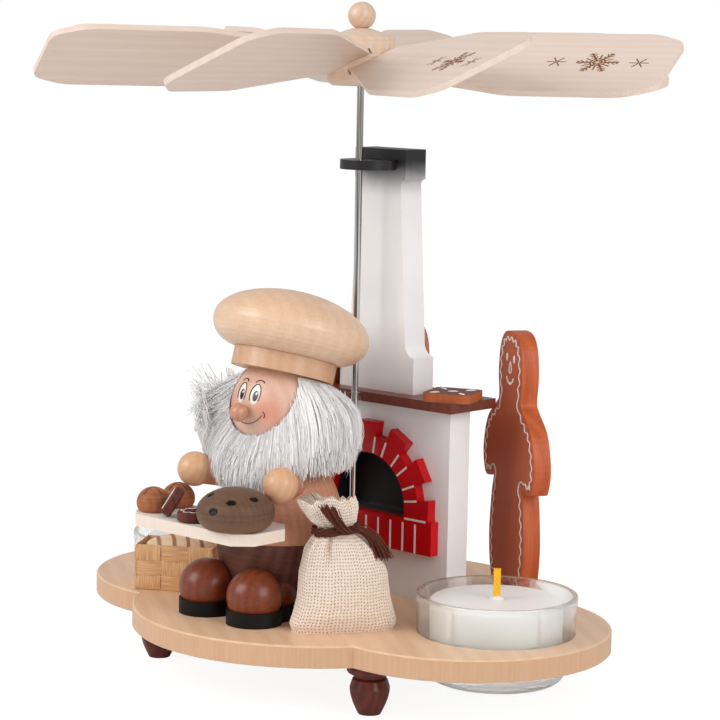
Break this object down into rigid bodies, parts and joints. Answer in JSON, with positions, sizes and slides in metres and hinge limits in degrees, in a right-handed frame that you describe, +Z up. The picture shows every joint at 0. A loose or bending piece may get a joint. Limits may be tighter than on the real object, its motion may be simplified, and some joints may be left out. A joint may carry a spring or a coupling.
{
  "type": "christmas pyramid",
  "caption": "Candle-driven table pyramid: a rotor of slanted wooden blades turns on a steel shaft above a gnome baker, a brick oven and candles in glass cups.",
  "frame": {"origin": "on the axis of the rotor shaft, at the level that the feet stand on", "axes": "+Z up along the shaft; X through the two candles; the gnome and the oven face -Y"},
  "size_m": [0.2758, 0.2758, 0.2905],
  "materials": {
    "pale_wood": "fine sanded, clear matt varnish",
    "maple_wood": "fine sanded, clear matt varnish",
    "blade_wood": "fine sanded",
    "dark_stained_wood": "dark stain, satin varnish",
    "white_painted_wood": "white paint, satin",
    "red_painted_wood": "red paint, satin",
    "black_painted_wood": "black paint, satin",
    "gingerbread_wood": "orange brown stain, satin varnish",
    "jacket_wood": "brown stain, matt varnish",
    "trouser_wood": "dark brown stain, matt varnish",
    "shoe_wood": "dark brown stain, gloss varnish",
    "crust_wood": "grey brown stain",
    "roll_wood": "brown stain",
    "chocolate_wood": "dark stain with white icing line",
    "splint": "raw split wood",
    "fur": "long white pile",
    "burlap": "coarse plain weave",
    "yarn": "soft brown yarn",
    "glass": "clear pressed glass",
    "wax": "white candle wax",
    "wick": "waxed yellow cotton",
    "steel": "bright drawn rod",
    "brass": "turned"
  },
  "bodies": {
    "base": {"base_plate": "pale_wood", "feet": "dark_stained_wood", "pivot_cup": "brass", "oven_body": "white_painted_wood", "firebox": "black_painted_wood", "brick_surround": "red_painted_wood", "brick_joints": "white_painted_wood", "mantel_shelf": "dark_stained_wood", "chimney": "white_painted_wood", "guide_bracket": "black_painted_wood", "honey_cake_right": "gingerbread_wood", "honey_cake_left": "gingerbread_wood", "gingerbread_man_right": "gingerbread_wood", "gingerbread_man_back": "gingerbread_wood", "trousers": "trouser_wood", "jacket": "jacket_wood", "sleeve_left": "jacket_wood", "sleeve_right": "jacket_wood", "hand_left": "maple_wood", "hand_right": "maple_wood", "head": "maple_wood", "nose": "maple_wood", "beard": "fur", "hair": "fur", "cap_band": "maple_wood", "cap_top": "pale_wood", "shoe_left": "shoe_wood", "shoe_right": "shoe_wood", "sole_left": "black_painted_wood", "sole_right": "black_painted_wood", "tray": "maple_wood", "loaf": "crust_wood", "roll_front": "roll_wood", "roll_back": "roll_wood", "ring_leaning": "chocolate_wood", "ring_flat": "chocolate_wood", "basket": "splint", "basket_rolls": "pale_wood", "sack": "burlap", "sack_tie": "yarn"},
    "candle_glass_left": {"glass_left": "glass"},
    "tea_light_left": {"tealight_left": "wax", "wick_left": "wick"},
    "candle_glass_right": {"glass_right": "glass"},
    "tea_light_right": {"tealight_right": "wax", "wick_right": "wick"},
    "rotor": {"rotor_shaft": "steel", "rotor_hub": "maple_wood", "finial": "pale_wood", "blade_1": "blade_wood", "blade_2": "blade_wood", "blade_3": "blade_wood", "blade_4": "blade_wood", "blade_5": "blade_wood", "blade_6": "blade_wood", "blade_7": "blade_wood", "blade_8": "blade_wood"}
  },
  "joints": [
    {"name": "rotor_spin", "type": "hinge", "parent": "base", "child": "rotor", "pos_m": [0, 0, 0.1], "axis": [0, 0, 1], "continuous": true},
    {"name": "glass_left_lift", "type": "slide", "parent": "base", "child": "candle_glass_left", "axis": [0, 0, 1], "range_m": [0, 0.05]},
    {"name": "tea_light_left_lift", "type": "slide", "parent": "candle_glass_left", "child": "tea_light_left", "axis": [0, 0, 1], "range_m": [0, 0.04]},
    {"name": "glass_right_lift", "type": "slide", "parent": "base", "child": "candle_glass_right", "axis": [0, 0, 1], "range_m": [0, 0.05]},
    {"name": "tea_light_right_lift", "type": "slide", "parent": "candle_glass_right", "child": "tea_light_right", "axis": [0, 0, 1], "range_m": [0, 0.04]}
  ]
}
